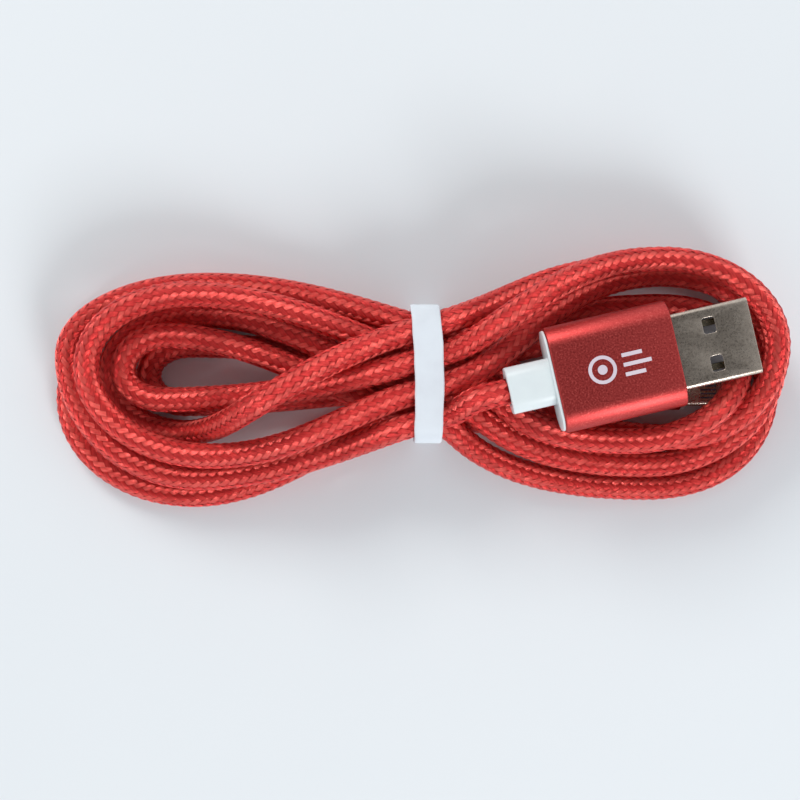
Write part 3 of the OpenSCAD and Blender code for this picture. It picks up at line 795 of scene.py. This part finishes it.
def make_tab():
    sleeve = tube("tab_plug_sleeve", tab_rear, tab_front, TAB["w"], TAB["t"], TAB["r"],
                  TAB["wall"], 0.2, 0.2, 0.1, 12)
    finish_shape(sleeve)

    core_w, core_t, core_r = filling(TAB)
    lip = soft_bar("tab_lip", tab_front + FIT, tab_face, TAB["w"] - 0.3, TAB["t"] - 0.3,
                   TAB["r"] - 0.15, 0.1, 0.25)
    body = soft_bar("tab_white_moulding", TAB["collar_l"], tab_front + BURIED, core_w, core_t,
                    core_r, 0, 0)
    cut(body, collar("tab_collar", TAB, 0.5), lip, operation="UNION")
    hollow_out(body, TAB, tab_seat, tab_face, TAB["tab_w"], TAB["tab_t"], 0.7, 8,
               core_w - 1.2, core_t - 1)
    return [fit_out(piece, finish, node, TAB_AT) for piece, finish, slot, node in (
        (sleeve, anodised, "anodised", "tab_sleeve"),
        (body, white_plastic, "white_plastic", "tab_moulding"))]


# ------------------------------------------------------------------ tie
TIE_R = 3.1                        # radius of the band's outer corners


def make_tie():
    inner_w = 3 * WAIST_STEP + CORD_D + WAIST_SLOPE * TIE_W + 2 * FIT
    inner_t = 2 * LAYER_STEP + CORD_D + 2 * FIT
    half = TIE_W / 2
    band = tube("tie_band_soft", -half, half, inner_w + 2 * TIE_WALL, inner_t + 2 * TIE_WALL,
                TIE_R, TIE_WALL, 0.3, 0.3, 0.2, 12)
    start_edit(band)
    pick(band, edges=lambda e: e.calc_length() > 3 * MM)
    bpy.ops.mesh.subdivide(number_cuts=9)
    end_edit()
    for v in band.data.vertices:     # the cut edges aren't quite straight, nor is the top flat
        y, z = v.co.y / MM, v.co.z / MM
        left = 0.42 - 0.0035 * (y + 4) ** 2 + 0.05 * math.sin(1.3 * y + 0.4 * z)
        right = 0.5 - 0.0048 * (y + 1.5) ** 2 + 0.05 * math.sin(0.9 * y - 0.5 * z + 1)
        share = v.co.x / (half * MM)
        v.co.x += (0.5 + share / 2) * right * MM + (0.5 - share / 2) * left * MM
        v.co.z += 0.05 * MM * math.sin(1.27 * y + 0.8) * (z > 0) * max(0, 1 - (y / 9) ** 2)
    finish_shape(band)
    fit_out(band, tie_rubber, "tie_band", (WAIST_X, WAIST_Y, TIE_WALL + inner_t / 2))


usb_pieces = make_usb()
tab_pieces = make_tab()
make_tie()
nodes_on_cord = ("usb_tongue", "usb_contacts", "usb_contact_block", "tab_frame", "tab_insert",
                 "tab_contacts", "tab_board")
usb_pieces + tab_pieces + [core] + [bpy.data.objects[n] for n in nodes_on_cord]


# ------------------------------------------------------------------ floor and light
# From here on in metres
ROOM_TONE = (0.94, 0.965, 1.0, 1)
ROOM_LOW, ROOM_HIGH = 0.9, 0.10    # how bright the room is low down and overhead
LOW_AT, HIGH_AT = 0.6, 0.98        # where its fall starts and ends, as the sine of the height
MELT_NEAR, MELT_FAR = 0.14, 0.5    # where the paper starts to melt into the room, and has
FLOOR_SIZE, FLOOR_DROP = 6, 0.0001
LAMP_SIZE = 0.35


def floor_finish():
    """Paper that melts into the room's tone far away from the object."""
    f = Finish("paper", Roughness=0.9, Specular_IOR_Level=0.2)
    tone = f.noise(12.0, 3)
    material = f.set(Base_Color=f.mix(tone, (0.72, 0.76, 0.785, 1), (0.75, 0.785, 0.805, 1)))
    reach = f.node("ShaderNodeVectorMath", {"operation": "LENGTH"}, f.place(), output="Value")
    rays = [f.node("ShaderNodeLightPath", output=kind)
            for kind in ("Is Camera Ray", "Is Glossy Ray", "Is Transmission Ray")]
    seen = rays[0] + rays[1] + rays[2]
    wall = f.node("ShaderNodeEmission", Color=ROOM_TONE, Strength=ROOM_LOW)
    sheet = Value(f, f.shader.outputs[0])
    both = f.node("ShaderNodeMixShader", {}, f.ramp(reach, MELT_NEAR, MELT_FAR) * seen, sheet, wall)
    f.tree.links.new(both.socket, f.tree.nodes["Material Output"].inputs["Surface"])
    return material


select(None)
bpy.ops.mesh.primitive_plane_add(size=FLOOR_SIZE, location=(0, 0, -FLOOR_DROP))
floor = bpy.context.object
floor.name = floor.data.name = "floor"
floor.data.materials.append(floor_finish())


def lamp(name, energy, at, colour):
    made = bpy.data.lights.new(name, "AREA")
    made.energy, made.size, made.color = energy, LAMP_SIZE, colour
    holder = bpy.data.objects.new(name, made)
    bpy.context.scene.collection.objects.link(holder)
    holder.location = at
    holder.rotation_euler = (-Vector(at)).to_track_quat("-Z", "Y").to_euler()


lamp("key", 4.6, (-0.4, 0.7, 0.54), (1, 0.985, 0.97))
lamp("fill", 4.9, (0.4, -0.7, 0.54), (0.97, 0.98, 1))


def room_light():
    """A pale room: bright low down, darker overhead."""
    world = bpy.data.worlds.new("room")
    bpy.context.scene.world = world
    world.use_nodes = True
    room = Nodes(world.node_tree)
    back = room.tree.nodes["Background"]
    height = room.node("ShaderNodeSeparateXYZ", {},
                       room.node("ShaderNodeTexCoord", output="Generated"), output=2)
    strength = room.ramp(height, LOW_AT, HIGH_AT, ROOM_LOW, ROOM_HIGH)
    room.tree.links.new(strength.socket, back.inputs["Strength"])
    back.inputs["Color"].default_value = ROOM_TONE


room_light()
bpy.context.scene.view_settings.view_transform = "Standard"
